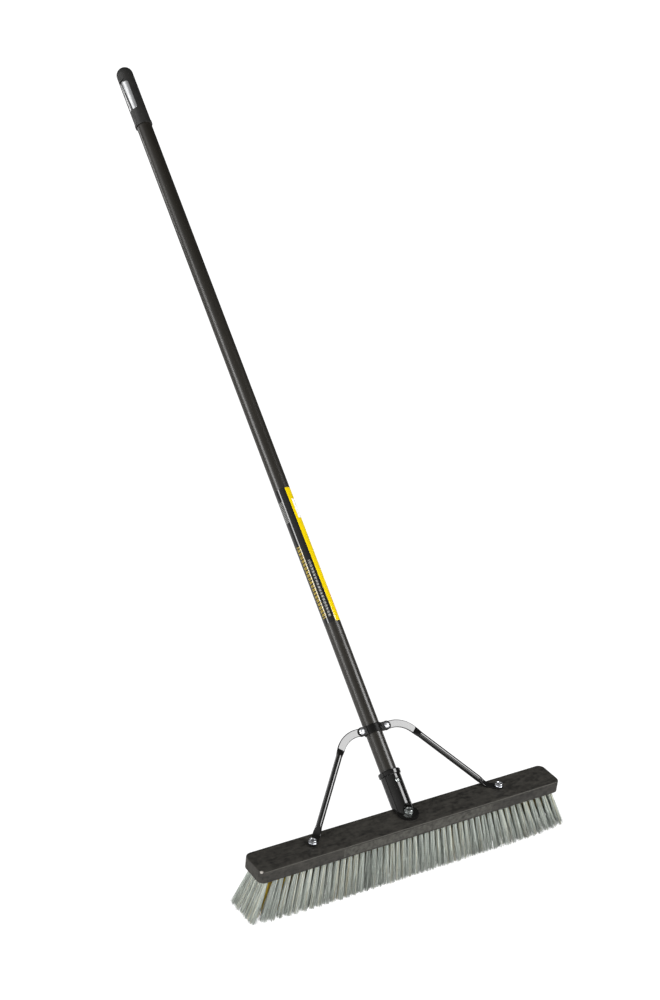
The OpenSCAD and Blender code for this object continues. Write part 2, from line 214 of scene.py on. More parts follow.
def stitch(bm, low, high):
    """Faces between two rings of the same size, or between a ring and a single point."""
    if len(low) == 1 and len(high) == 1:
        return
    count = max(len(low), len(high))
    for k in range(count):
        after = (k + 1) % count
        if len(low) == 1:
            bm.faces.new((low[0], high[after], high[k]))
        elif len(high) == 1:
            bm.faces.new((low[k], low[after], high[0]))
        else:
            bm.faces.new((low[k], low[after], high[after], high[k]))


def loft(bm, rings, closed=True):
    """A skin through rings of points, with a face over each end if it is closed."""
    made = [[bm.verts.new(point) for point in ring] for ring in rings]
    for low, high in zip(made, made[1:]):
        stitch(bm, low, high)
    if closed:
        for ring in (made[0][::-1], made[-1]):
            if len(ring) > 2:
                bm.faces.new(ring)


def hexagon_reach(flats, turn):
    """How far a hexagon's edge lies from its middle at a turn."""
    sixth = math.pi / 3
    return flats / 2 / math.cos((turn + sixth / 2) % sixth - sixth / 2)


def turned(profile, steps=96):
    """Rings for a turned shape. Each point is (radius, height), or (radius, height, flats) where
    a hexagon of that width cuts the round."""
    rings = []
    for radius, height, *flats in profile:
        if radius == 0:
            rings.append([Vector((0, 0, height))])
            continue
        ring = []
        for k in range(steps):
            turn = 2 * math.pi * k / steps
            reach = min(radius, hexagon_reach(flats[0], turn)) if flats else radius
            ring.append(Vector((reach * math.cos(turn), reach * math.sin(turn), height)))
        rings.append(ring)
    return rings


def cad_solid(node):
    """A clean copy of a CAD node's shape, with the triangles of each flat face joined."""
    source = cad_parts[node].data
    bm = bmesh.new()
    for vertex in source.vertices:
        bm.verts.new(vertex.co)
    bm.verts.ensure_lookup_table()
    for face in source.polygons:
        bm.faces.new([bm.verts[i] for i in face.vertices])
    bmesh.ops.remove_doubles(bm, verts=bm.verts, dist=0.002 * MM)
    bmesh.ops.dissolve_limit(bm, angle_limit=math.radians(0.8), verts=bm.verts, edges=bm.edges)
    return bm


def eased_copy(node, width):
    """A copy of a CAD node with its sharp edges rounded."""
    piece = link(node + "_eased", mesh_from(cad_solid(node), node + "_eased"))
    bevel = piece.modifiers.new("edges", "BEVEL")
    bevel.width = width
    bevel.segments = 3
    bevel.limit_method = "ANGLE"
    bevel.angle_limit = math.radians(32)
    bevel.use_clamp_overlap = True
    even_normals(piece)
    settle(piece)
    return piece


# ---- Materials ----

def linear(*channels):
    """A colour given as 0 to 255 display values, as the linear values that a shader takes."""
    shares = [c / 255 for c in channels]
    return tuple(s / 12.92 if s <= 0.04045 else ((s + 0.055) / 1.055) ** 2.4 for s in shares)


class Look:
    """A Principled material, with short forms for the nodes that vary it."""

    def __init__(self, name, colour, roughness, metallic=0.0, **constants):
        self.material = bpy.data.materials.new(name)
        self.material.use_nodes = True
        self.tree = self.material.node_tree
        self.shader = self.tree.nodes["Principled BSDF"]
        self.set("Base Color", (*colour, 1))
        self.set("Roughness", roughness)
        self.set("Metallic", metallic)
        for socket, value in constants.items():
            self.set(socket.replace("_", " "), value)

    def set(self, socket, value):
        """A constant, set on the shader itself."""
        self.shader.inputs[socket].default_value = value

    def drive(self, socket, output):
        """A shader input that a node's output varies."""
        self.tree.links.new(output, self.shader.inputs[socket])

    def node(self, kind, **settings):
        made = self.tree.nodes.new(kind)
        for name, value in settings.items():
            setattr(made, name, value)
        return made

    def fill(self, socket, value):
        """Gives a node's input a constant or another node's output."""
        if isinstance(value, bpy.types.NodeSocket):
            self.tree.links.new(value, socket)
        else:
            socket.default_value = value

    def calc(self, operation, *values):
        made = self.node("ShaderNodeMath", operation=operation)
        for socket, value in zip(made.inputs, values):
            self.fill(socket, value)
        return made.outputs[0]

    def both(self, first, second):
        return self.calc("MULTIPLY", first, second)

    def between(self, value, low, high):
        return self.both(self.calc("GREATER_THAN", value, low), self.calc("LESS_THAN", value, high))

    def dashes(self, value, period, share):
        """1 over the first share of every period, 0 over the rest."""
        return self.calc("LESS_THAN", self.calc("FRACT", self.calc("MULTIPLY", value, 1 / period)), share)

    def panel(self, turn, along, turns, lengths):
        """1 on a patch of the handle: a range of degrees round it by a range of millimetres along it."""
        low, high = lengths
        return self.both(self.between(turn, *turns), self.between(along, low * MM, high * MM))

    def mix(self, share, first, second):
        """From the first colour, where the share is 0, to the second, where it is 1."""
        made = self.node("ShaderNodeMix", data_type="RGBA")
        colours = [(*c, 1) if isinstance(c, tuple) else c for c in (first, second)]
        for index, value in zip((0, 6, 7), (share, *colours)):
            self.fill(made.inputs[index], value)
        return made.outputs[2]

    def place(self, matrix=None):
        """A point's place on the object, or in another frame if one is given."""
        output = self.node("ShaderNodeTexCoord").outputs["Object"]
        if matrix is None:
            return output
        moved = self.node("ShaderNodeMapping")
        back = matrix.inverted()
        moved.inputs["Location"].default_value = back.to_translation()
        moved.inputs["Rotation"].default_value = back.to_euler()
        self.tree.links.new(output, moved.inputs["Vector"])
        return moved.outputs["Vector"]

    def parts(self, place):
        """A point's three coordinates."""
        split = self.node("ShaderNodeSeparateXYZ")
        self.fill(split.inputs[0], place)
        return split.outputs

    def round_handle(self):
        """A point's turn round the handle in degrees, from its front to the right, and its length along."""
        x, away, along = self.parts(self.place(HANDLE))
        turn = self.calc("DEGREES", self.calc("ARCTAN2", x, self.calc("MULTIPLY", away, -1.0)))
        return turn, along

    def stretched(self, place, scale):
        moved = self.node("ShaderNodeMapping")
        moved.inputs["Scale"].default_value = scale
        self.tree.links.new(place, moved.inputs["Vector"])
        return moved.outputs["Vector"]

    def noise(self, place, scale, detail=3, rough=0.55, distortion=0.0):
        made = self.node("ShaderNodeTexNoise")
        self.tree.links.new(place, made.inputs["Vector"])
        made.inputs["Scale"].default_value = scale
        made.inputs["Detail"].default_value = detail
        made.inputs["Roughness"].default_value = rough
        made.inputs["Distortion"].default_value = distortion
        return made.outputs["Fac"]

    def ramp(self, value, low, high, to_low=0.0, to_high=1.0):
        """Turns the range from low to high into another one, and stops at its ends."""
        made = self.node("ShaderNodeMapRange")
        for socket, number in zip(made.inputs, (value, low, high, to_low, to_high)):
            self.fill(socket, number)
        return made.outputs[0]

    def bump(self, height, depth, strength=1.0):
        made = self.node("ShaderNodeBump")
        self.fill(made.inputs["Height"], height)
        made.inputs["Distance"].default_value = depth
        made.inputs["Strength"].default_value = strength
        self.drive("Normal", made.outputs["Normal"])


def block_look():
    """Dark foam with a faint grain along the head, a faded panel, a painted highlight along the front top
    edge and a scuffed corner.
    """
    look = Look("foam_block", linear(60, 58, 54), 0.6, Specular_IOR_Level=0.25)
    place = look.place()
    grain = look.noise(look.stretched(place, (34, 120, 120)), 1.0, 6, 0.7, 1.2)
    mottle = look.noise(place, 130, 5)
    pores = look.noise(place, 900, 2)
    tone = look.ramp(grain, 0.38, 0.62)
    colour = look.mix(tone, linear(20, 19, 17), linear(52, 50, 46))
    colour = look.mix(look.ramp(mottle, 0.45, 0.65, 0.0, 0.6), colour, linear(55, 53, 49))
    x, y, z = look.parts(place)
    panel = look.both(look.between(x, *PANEL_X), look.calc("LESS_THAN", y, HEAD_LOW.y + 0.1 * MM))
    panel = look.both(panel, look.between(z, HEAD_BOTTOM + PANEL_EDGE, HEAD_TOP - PANEL_EDGE))
    faded = look.both(panel, look.ramp(look.noise(place, 160, 4), 0.35, 0.62, 0.1, 0.9))
    colour = look.mix(faded, colour, linear(72, 71, 66))
    # Painted highlight: a lighter band along the front top edge, standing in for the light caught by the
    # rounded edge
    in_front = look.calc("LESS_THAN", y, HEAD_LOW.y + EDGE_HIGHLIGHT_BAND)
    painted_edge_highlight = look.both(in_front, look.calc("GREATER_THAN", z, HEAD_TOP - EDGE_HIGHLIGHT_BAND))
    colour = look.mix(painted_edge_highlight, colour, linear(68, 66, 61))
    corner = (HEAD_LOW.x + 3 * MM, HEAD_LOW.y + 4 * MM, HEAD_TOP)
    away = look.node("ShaderNodeVectorMath", operation="DISTANCE")
    look.fill(away.inputs[0], place)
    away.inputs[1].default_value = corner
    rough_edge = look.ramp(look.noise(place, 700), 0, 1, -2 * MM, 2 * MM)
    ragged = look.calc("ADD", away.outputs["Value"], rough_edge)
    scuff = look.ramp(ragged, SCUFF_R - 0.6 * MM, SCUFF_R + 0.6 * MM, 1.0, 0.0)
    colour = look.mix(scuff, colour, linear(150, 146, 140))
    look.drive("Base Color", colour)
    look.drive("Roughness", look.ramp(grain, 0.3, 0.7, 0.54, 0.7))
    height = look.calc("ADD", look.calc("MULTIPLY", grain, 0.7), look.calc("MULTIPLY", pores, 0.3))
    look.bump(height, 0.25 * MM, 0.7)
    return look.material


def powder_look():
    """Satin black powder coat with a fine orange peel."""
    look = Look("powder_coat", linear(26, 26, 26), 0.34)
    place = look.place(HANDLE)
    peel = look.noise(place, 700, 2, 0.5)
    drift = look.noise(look.stretched(place, (30, 30, 6)), 1.0, 3)
    look.drive("Base Color", look.mix(drift, linear(24, 22, 18), linear(35, 32, 27)))
    look.drive("Roughness", look.ramp(drift, 0.3, 0.7, 0.30, 0.37))
    look.bump(peel, 0.03 * MM, 0.4)
    return look.material


def enamel_look(name, roughness, ripple, **constants):
    """Gloss black enamel that has flowed out with a slight ripple, its height in mm."""
    look = Look(name, linear(14, 14, 14), roughness, **constants)
    place = look.place()
    flow = look.noise(place, 160, 2, 0.4)
    dust = look.noise(place, 35, 4)
    look.drive("Base Color", look.mix(dust, linear(10, 10, 10), linear(20, 19, 18)))
    look.drive("Roughness", look.ramp(dust, 0.35, 0.7, roughness - 0.03, roughness + 0.05))
    look.bump(flow, ripple * MM, 0.35)
    return look.material


def cap_look():
    """Matte black moulded plastic with a fine spark-eroded grain."""
    look = Look("moulded_cap", linear(36, 36, 36), 0.5)
    place = look.place(HANDLE)
    grain = look.noise(place, 1600, 2)
    cloud = look.noise(place, 90, 3)
    look.drive("Base Color", look.mix(cloud, linear(26, 26, 25), linear(37, 36, 34)))
    look.drive("Roughness", look.ramp(cloud, 0.3, 0.7, 0.44, 0.56))
    look.bump(grain, 0.05 * MM, 0.6)
    return look.material


def plate_look():
    """Bright plating over brushed steel, with painted shade at a crease near the plate's left edge: a dark
    line along the crease and a darker side beyond it.
    """
    look = Look("hanger_steel", linear(222, 223, 224), 0.26, 1.0)
    place = look.place(HANDLE)
    brushed = look.noise(look.stretched(place, (1600, 1600, 40)), 1.0, 3)
    smear = look.noise(place, 70, 3)
    colour = look.mix(look.ramp(smear, 0.35, 0.7), linear(214, 215, 216), linear(232, 233, 234))
    turn, along = look.round_handle()
    low, high = CREASE
    line = look.ramp(along, low * MM, high * MM, *CREASE_TURN)
    off = look.calc("ABSOLUTE", look.calc("SUBTRACT", turn, line))
    # Painted shade: the side beyond the crease is darker, and a dark line runs along the crease itself
    colour = look.mix(look.calc("LESS_THAN", turn, line), colour, linear(150, 150, 150))
    colour = look.mix(look.ramp(off, 3.0, 6.0, 0.9, 0.0), colour, linear(30, 30, 30))
    look.drive("Base Color", colour)
    look.drive("Roughness", look.ramp(brushed, 0.3, 0.7, 0.21, 0.33))
    look.bump(brushed, 0.015 * MM, 0.5)
    return look.material


def zinc_look(name, light, dark, roughness):
    """Zinc plating, cloudy and finely pitted."""
    look = Look(name, light, roughness, 1.0)
    place = look.place()
    cloud = look.noise(place, 420, 4)
    pits = look.noise(place, 2600, 2)
    look.drive("Base Color", look.mix(look.ramp(cloud, 0.35, 0.7), light, dark))
    look.drive("Roughness", look.ramp(cloud, 0.3, 0.7, roughness, roughness + 0.14))
    look.bump(pits, 0.03 * MM, 0.4)
    return look.material


def label_look():
    """The printed wrap: black with a yellow side, a white blank, a stripe and dashes in place of words."""
    look = Look("label_print", linear(24, 24, 23), 0.2)
    turn, along = look.round_handle()
    low, high = LABEL
    edge = look.ramp(along, low * MM, high * MM, -1.0, -8.0)
    yellow = look.between(turn, edge, 150)
    blank = look.panel(turn, along, (14, 120), LABEL_BLANK)
    stripe = look.panel(turn, along, (40, 52), LABEL_STRIPE)
    white_rows = look.both(look.dashes(turn, 7.5, 0.55), look.dashes(along, 6 * MM, 0.74))
    white_rows = look.both(white_rows, look.panel(turn, along, (-36, -21), LABEL_WORDS))
    gold_rows = look.both(look.dashes(turn, 12, 0.5), look.dashes(along, 7 * MM, 0.72))
    gold_rows = look.both(gold_rows, look.panel(turn, along, (-90, -54), LABEL_LONG_WORDS))
    patch = look.both(look.dashes(along, 3 * MM, 0.5), look.panel(turn, along, (-100, -58), LABEL_PATCH))
    ink = look.noise(look.place(), 500, 3)
    colour = look.mix(ink, linear(20, 20, 20), linear(30, 29, 28))
    colour = look.mix(patch, colour, linear(120, 120, 118))
    colour = look.mix(gold_rows, colour, linear(176, 152, 52))
    colour = look.mix(white_rows, colour, linear(166, 166, 162))
    colour = look.mix(yellow, colour, look.mix(ink, linear(224, 196, 4), linear(214, 186, 2)))
    colour = look.mix(blank, colour, linear(240, 240, 236))
    colour = look.mix(stripe, colour, linear(196, 84, 24))
    look.drive("Base Color", colour)
    look.drive("Roughness", look.ramp(ink, 0.3, 0.7, 0.07, 0.11))
    look.bump(look.noise(look.place(HANDLE), 260, 2), 0.02 * MM, 0.3)
    return look.material


def fibre_look(name, colour):
    """A bristle's plain colour, the same all along it."""
    return Look(name, colour, 0.42, Specular_IOR_Level=0.4).material


# ---- Head block ----

def rounded_outline(length, width, radius, steps=12):
    """A rectangle with round corners."""
    points = []
    for quarter, (side_x, side_y) in enumerate(((1, 1), (-1, 1), (-1, -1), (1, -1))):
        centre_x = side_x * (length / 2 - radius)
        centre_y = side_y * (width / 2 - radius)
        for k in range(steps + 1):
            turn = math.pi / 2 * (quarter + k / steps)
            points.append((centre_x + radius * math.cos(turn), centre_y + radius * math.sin(turn)))
    return points


def block_ring(inset, height):
    outline = rounded_outline(HEAD_LEN - 2 * inset, HEAD_W - 2 * inset, BLOCK_CORNER - inset)
    return [Vector((x, y, height)) for x, y in outline]


def block_rings(steps=7):
    """From the underside up: a small round, the walls, and a larger round along the top edge."""
    rings = []
    for k in range(steps + 1):
        turn = math.pi / 2 * k / steps
        inset = BLOCK_LOW_ROUND * (1 - math.sin(turn))
        rings.append(block_ring(inset, HEAD_BOTTOM + BLOCK_LOW_ROUND * (1 - math.cos(turn))))
    for k in range(steps + 1):
        turn = math.pi / 2 * k / steps
        inset = BLOCK_TOP_ROUND * (1 - math.cos(turn))
        rings.append(block_ring(inset, HEAD_TOP - BLOCK_TOP_ROUND * (1 - math.sin(turn))))
    return rings


def add_drill(bm, place, radius, low, high, steps=20):
    """Adds a cylinder that stands on the place's z axis."""
    loft(bm, [[place @ v for v in ring] for ring in turned([(radius, low), (radius, high)], steps)])


def drilled(piece, drills):
    """Cuts the drills, a bmesh, out of the piece."""
    bmesh.ops.recalc_face_normals(drills, faces=drills.faces)
    tool = link("drills", bpy.data.meshes.new("drills"))
    drills.to_mesh(tool.data)
    drills.free()
    cut = piece.modifiers.new("holes", "BOOLEAN")
    cut.object = tool
    cut.operation = "DIFFERENCE"
    cut.solver = "MANIFOLD"
    settle(piece)
    piece.data.set_sharp_from_angle(angle=math.radians(35))
    even_normals(piece)
    settle(piece)
    bpy.data.objects.remove(tool)


def build_block(material):
    """The block with its tuft holes and the wells for its three inserts."""
    bm = bmesh.new()
    loft(bm, block_rings())
    block = link("head_block_foam", mesh_from(bm, "head_block_foam"))
    drills = bmesh.new()
    for i in range(COLS):
        for j in range(ROWS):
            add_drill(drills, tuft_place(i, j), HOLE_R, -3 * MM, HOLE_DEPTH)
    bolt = middle("socket_washer")
    wells = [(Vector((bolt.x, bolt.y, 0)), SOCKET_BOLT_R + INSERT_WALL)]
    wells += [(spot, BRACE_SCREW_R + INSERT_WALL) for spot in round_places("brace_washers")]
    for spot, radius in wells:
        add_drill(drills, Matrix.Translation(spot), radius, HEAD_TOP - INSERT_DEPTH, 2 * HEAD_TOP, 40)
    drilled(block, drills)
    place_piece(block, material, ["head_block"])


# ---- Bristles ----

def row_lean(i, j):
    """The outer rows lean out, and less at the two ends."""
    end = (abs(i - MID_COL) / MID_COL) ** 8
    return ROW_FLARE * (1 - 0.6 * end) * (j - MID_ROW) / MID_ROW


def end_lean(i):
    """The columns lean out more and more towards each end."""
    flare = RIGHT_FLARE if i > MID_COL else -LEFT_FLARE
    return flare * (abs(i - MID_COL) / MID_COL) ** FAN_POWER


def tuft_place(i, j, sway=(0, 0)):
    """The frame of a tuft: z up its hole, 0 where it leaves the block. The gap beside the left
    front corner is wider, and a golden tuft shows through it."""
    x = MID_PITCH * (i - MID_COL) + SPREAD * (i - MID_COL) ** 3
    if (i, j) == (1, 0):
        x += FIRST_GAP
    y = (j - MID_ROW) * ROW_PITCH
    across = Matrix.Rotation(math.radians(row_lean(i, j) + sway[0]), 4, "X")
    along = Matrix.Rotation(-math.radians(end_lean(i) + sway[1]), 4, "Y")
    return Matrix.Translation((x, y, HEAD_BOTTOM)) @ along @ across


def tuft_length(place):
    """As long as it takes to reach the floor."""
    return HEAD_BOTTOM / place.to_3x3()[2][2]


def add_filament(store, place, length, shares, rng, tones):
    """One crimped, slightly tapered filament that spreads from its hole. The shares are the places
    along it that get a ring of points, and the tones how often each material is drawn."""
    points, faces, marks = store
    out = math.sqrt(rng.random())
    turn = rng.uniform(0, 2 * math.pi)
    phase = rng.uniform(0, 2 * math.pi)
    twist = rng.uniform(0, 2 * math.pi)
    stray_x, stray_y = rng.gauss(0, FIBRE_STRAY), rng.gauss(0, FIBRE_STRAY)
    reach = length - abs(rng.gauss(0, FIBRE_UNEVEN))
    tone = rng.choices(range(len(tones)), tones)[0]
    first = len(points)
    for share in shares:
        down = max(share, 0)
        radius = out * (ROOT_R + (TIP_R - ROOT_R) * down ** 0.9)
        wave = FIBRE_WAVE * down * math.sin(phase + 9 * share)
        x = radius * math.cos(turn) + wave * math.sin(turn) + stray_x * down ** 2
        y = radius * math.sin(turn) - wave * math.cos(turn) + stray_y * down ** 2
        thick = FIBRE_R * (1 - 0.3 * down)
        for k in range(3):
            side = twist + k * 2 * math.pi / 3
            corner = Vector((x + thick * math.cos(side), y + thick * math.sin(side), -reach * share))
            points.append(place @ corner)
    rings = len(shares)
    for ring in range(rings - 1):
        for k in range(3):
            low, after = first + 3 * ring, (k + 1) % 3
            faces.append((low + k, low + after, low + 3 + after, low + 3 + k))
            marks.append(tone)
    last = first + 3 * (rings - 1)
    faces.append((first + 2, first + 1, first))
    faces.append((last, last + 1, last + 2))
    marks.extend((tone, tone))


def build_tufts(node, cells, materials, tones, filaments, shares, seed):
    """The tufts of some cells of the grid as one mesh, cut off level at the floor. The tones are a
    list, one set for each column."""
    rng = random.Random(seed)
    store = ([], [], [])
    for i, j in cells:
        place = tuft_place(i, j, (rng.gauss(0, 0.3), rng.gauss(0, 0.25)))
        length = tuft_length(place)
        for _ in range(filaments):
            add_filament(store, place, length, shares, rng, tones[i])
    points, faces, marks = store
    points = [Vector((point.x, point.y, max(point.z, 0))) for point in points]
    mesh = bpy.data.meshes.new(node + "_filaments")
    mesh.from_pydata(points, [], faces)
    for material in materials:
        mesh.materials.append(material)
    mesh.polygons.foreach_set("material_index", marks)
    mesh.shade_smooth()
    mesh.update()
    piece = link(node + "_filaments", mesh)
    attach(piece, "broom")
    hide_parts(node)


def build_bristles():
    """Grey filaments round the outside. Inside, golden ones in the first columns; past them the inner
    golden filaments are drawn tan and brown as painted shade.
    """
    greys = [
        fibre_look("fibre_light", linear(200, 206, 198)),
        fibre_look("fibre_grey", linear(160, 167, 160)),
        fibre_look("fibre_dark", linear(108, 113, 107)),
        fibre_look("fibre_straw", linear(192, 184, 156)),
    ]
    # Gold, then tan and brown: the tan and brown are shaded copies of the gold, painted shade
    golds_lit_and_shaded = [
        fibre_look("fibre_gold", linear(240, 205, 40)),
        fibre_look("fibre_gold_shaded_tan", linear(190, 172, 130)),
        fibre_look("fibre_gold_deep_shade", linear(104, 98, 84)),
    ]
    grey_tones = [(6, 7, 3, 1)] * COLS
    # Painted shade: bright gold only in the first columns, tan and brown in place of shaded gold past them
    gold_lit_and_shaded_tones = [(5, 1, 0) if i < LIT_GOLD_COLS else (0, 3, 2) for i in range(COLS)]
    fine = (-0.06, 0.12, 0.5, 1.0)
    coarse = (-0.06, 0.3, 1.0)
    inner_rows = range(1, ROWS - 1)
    rows = {
        "tufts_front_row": [(i, 0) for i in range(COLS)],
        "tufts_rear_row": [(i, ROWS - 1) for i in range(COLS)],
        "tufts_left_end": [(0, j) for j in inner_rows],
        "tufts_right_end": [(COLS - 1, j) for j in inner_rows],
    }
    for seed, (node, cells) in enumerate(rows.items(), 1):
        build_tufts(node, cells, greys, grey_tones, OUTER_FIBRES, fine, seed)
    inner = [(i, j) for i in range(1, COLS - 1) for j in inner_rows]
    build_tufts("tufts_inner", inner, golds_lit_and_shaded, gold_lit_and_shaded_tones, INNER_FIBRES, coarse, 5)


# ---- Brace arms ----

def superellipse(half_w, half_t, power, steps=40):
    """An ellipse for power 2, and squarer the higher the power."""
    points = []
    for k in range(steps):
        turn = 2 * math.pi * k / steps
        c, s = math.cos(turn), math.sin(turn)
        points.append((
            half_w * math.copysign(abs(c) ** (2 / power), c),
            half_t * math.copysign(abs(s) ** (2 / power), s),
        ))
    return points


def ease(share):
    """From 0 to 1 with a slow start and end."""
    share = min(max(share, 0), 1)
    return share * share * (3 - 2 * share)


def arm_ring(centre, along, wide, flat=1.0, narrow=1.0):
    """A ring across the arm, round where flat is 0 and pressed flat where it is 1."""
    wide = (wide - along * wide.dot(along)).normalized()
    up = along.cross(wide)
    half_w = (ARM_R + (FLAT_W - ARM_R) * flat) * narrow
    half_t = ARM_R + (FLAT_T - ARM_R) * flat
    return [centre + wide * a + up * b for a, b in superellipse(half_w, half_t, 2 + 3 * flat)]


def tip_rings(hole, along, wide, end):
    """A flat end rounded about its hole: the arm's first where end is -1, its last where it is 1.
    The outermost ring is narrow, but not quite a line."""
    rings = []
    for k in range(TIP_STEPS):
        turn = TIP_TURN * k
        centre = hole + along * end * FLAT_W * math.sin(turn)
        rings.append(arm_ring(centre, along, wide, 1, math.cos(turn)))
    return rings[::end]


def arm_path(side, spot):
    """Rings for the whole arm, and where its two holes are. It starts with a flat eye in the clamp,
    curves down while still flat, goes on as a round tube and bends into a flat level tab."""
    out = Vector((side, 0, 0))
    plane = middle("clamp_washers") + HANDLE.to_3x3() @ Vector((0, -WASHER_TO_FLAT, 0))
    tab = Vector((spot.x, spot.y, HEAD_TOP + FLAT_T))
    to_tab = Vector((side * math.cos(TAB_HEADING), -math.sin(TAB_HEADING), 0))
    bend = tab - TAB_LEN * to_tab
    fall = Vector((0, bend.y - plane.y, bend.z - plane.z))
    down = fall.normalized()
    to_bend = Vector((abs(bend.x) - UPPER_RUN, fall.length - UPPER_BEND_R))
    sweep = math.atan2(to_bend.y, to_bend.x) + math.asin(UPPER_BEND_R / to_bend.length)
    eye = plane + out * (box("clamp_washers")[1].x - WASHER_R)
    rings = tip_rings(eye, out, down, -1)
    for k in range(BEND_STEPS + 1):
        turn = sweep * k / BEND_STEPS
        along = out * math.cos(turn) + down * math.sin(turn)
        wide = down * math.cos(turn) - out * math.sin(turn)
        centre = plane + out * (UPPER_RUN + UPPER_BEND_R * math.sin(turn))
        centre += down * UPPER_BEND_R * (1 - math.cos(turn))
        rings.append(arm_ring(centre, along, wide))
    low = bend - along * LOWER_BEND
    level = Vector((-along.y, along.x, 0)).normalized()
    level *= math.copysign(1, level.dot(wide))
    tube_len = (low - centre).length - 2 * SQUEEZE_LEN
    shares = [k / TUBE_STEPS for k in range(1, TUBE_STEPS + 1)]
    for share in shares:
        rings.append(arm_ring(centre + along * SQUEEZE_LEN * share, along, wide, 1 - ease(share)))
    for share in shares:
        at = centre + along * (SQUEEZE_LEN + tube_len * share)
        rings.append(arm_ring(at, along, wide.lerp(level, share), 0))
    for share in shares:
        rings.append(arm_ring(low - along * SQUEEZE_LEN * (1 - share), along, level, ease(share)))
    tab_wide = Vector((-to_tab.y, to_tab.x, 0))
    tab_wide *= math.copysign(1, tab_wide.dot(level))
    for k in range(1, TAB_STEPS + 1):
        share = k / TAB_STEPS
        centre = bend - along * LOWER_BEND * (1 - share) ** 2 + to_tab * LOWER_BEND * share ** 2
        rings.append(arm_ring(centre, along.lerp(to_tab, share).normalized(), level.lerp(tab_wide, share)))
    return rings + tip_rings(tab, to_tab, tab_wide, 1), eye, tab


def build_arm(node, side, spot, material):
    """One tube, pressed flat at both ends."""
    rings, eye, tab = arm_path(side, spot)
    bm = bmesh.new()
    loft(bm, rings)
    arm = link(node + "_pressed", mesh_from(bm, node + "_pressed"))
    drills = bmesh.new()
    across = Matrix.Translation(eye) @ HANDLE.to_3x3().to_4x4() @ Matrix.Rotation(math.pi / 2, 4, "X")
    add_drill(drills, across, CLAMP_BOLT_R, -3 * FLAT_T, 3 * FLAT_T)
    add_drill(drills, Matrix.Translation(tab), BRACE_SCREW_R + BRACE_SCREW_PLAY, -3 * FLAT_T, 3 * FLAT_T)
    drilled(arm, drills)
    place_piece(arm, material, [node])


# ---- Screws ----

def hex_profile(flats, seat, height, shank_r, shank_low, flange_r):
    """A hex screw with a thin round flange, chamfered corners and a dished top."""
    corner = flats / math.sqrt(3)
    top_r = 0.46 * flats
    chamfer = (corner - top_r) * math.tan(math.radians(30))
    rise = seat + height
    profile = [(0, shank_low), (shank_r * 0.8, shank_low), (shank_r, shank_low + 0.8 * MM), (shank_r, seat)]
    profile += [(flange_r - 0.3 * MM, seat), (flange_r, seat + 0.3 * MM)]
    profile += [(flange_r, seat + FLANGE - 0.3 * MM), (flange_r - 0.4 * MM, seat + FLANGE)]
    profile.append((corner + 0.15 * MM, seat + FLANGE, flats))
    for k in range(7):
        share = k / 6
        radius = corner + (top_r - corner) * share
        profile.append((radius, rise - chamfer * (1 - share), flats))
    profile += [(0.34 * flats, rise), (0.31 * flats, rise - 0.2 * MM), (0.27 * flats, rise - 0.8 * MM)]
    profile.append((0, rise - 0.9 * MM))
    return profile


def build_screws(node, name, spots, profile, material, turn):
    """Screws of one profile as one piece. The ones on the right are turned by the turn, and any
    others by twice as much."""
    bm = bmesh.new()
    for spot in spots:
        place = Matrix.Translation(spot) @ Matrix.Rotation(turn * (1 if spot.x > 0 else 2), 4, "Z")
        loft(bm, [[place @ v for v in ring] for ring in turned(profile)], closed=False)
    piece = link(name, mesh_from(bm, name, 28))
    even_normals(piece)
    settle(piece)
    place_piece(piece, material, [node])


def build_hex_screws(zinc, bolt_zinc):
    """The two screws of the brace and the socket's bolt."""
    seat = box("brace_washers")[1].z
    low = box("brace_screws")[0].z
    sizes = (BRACE_SCREW_HEAD, BRACE_SCREW_R, low, BRACE_SCREW_FLANGE_R)
    profile = hex_profile(BRACE_SCREW_FLATS, seat, *sizes)
    spots = round_places("brace_washers")
    build_screws("brace_screws", "brace_hex_screws", spots, profile, zinc, BRACE_SCREW_TURN)
    bolt = middle("socket_bolt")
    seat = box("socket_washer")[1].z
    low = box("socket_bolt")[0].z
    sizes = (SOCKET_BOLT_HEAD, SOCKET_BOLT_R, low, SOCKET_BOLT_FLANGE_R)
    profile = hex_profile(SOCKET_BOLT_FLATS, seat, *sizes)
    spots = [Vector((bolt.x, bolt.y, 0))]
    build_screws("socket_bolt", "socket_hex_bolt", spots, profile, bolt_zinc, SOCKET_BOLT_TURN)


# ---- Stage, lights and camera ----

EYE = Vector((-1.55704, -1.90449, 1.84075))
VIEW = Vector((0.515493, 0.741610, -0.429280)).normalized()
ROLL = math.radians(6.034)
SENSOR = 36
LENS = 62.557
AXIS = (HANDLE.to_3x3() @ Vector((0, 0, 1))).normalized()
UP = Vector((0, 0, 1))


def build_camera():
    """The photo's view, from above and to the left of the front, with the camera slightly rolled."""
    camera = bpy.data.objects.new("camera", bpy.data.cameras.new("camera"))
    bpy.context.scene.collection.objects.link(camera)
    right = VIEW.cross(UP).normalized()
    up = right.cross(VIEW)
    turned_right = right * math.cos(ROLL) + up * math.sin(ROLL)
    turned_up = up * math.cos(ROLL) - right * math.sin(ROLL)
    axes = Matrix((turned_right, turned_up, -VIEW)).transposed()
    camera.matrix_world = Matrix.Translation(EYE) @ axes.to_4x4()
    camera.data.sensor_width = SENSOR
    camera.data.lens = LENS
    bpy.context.scene.camera = camera


def highlight_way(turn, spot):
    """The way a light lies for the handle to mirror it from the spot to the camera. The turn is
    in degrees round the handle from the camera's side, positive to the right."""
    view = (spot - EYE).normalized()
    along = AXIS.dot(view)
    to_camera = (AXIS * along - view).normalized()
    to_right = AXIS.cross(to_camera)
    across = math.sqrt(1 - along * along)
    turn = math.radians(turn)
    return AXIS * along + (to_camera * math.cos(turn) + to_right * math.sin(turn)) * across


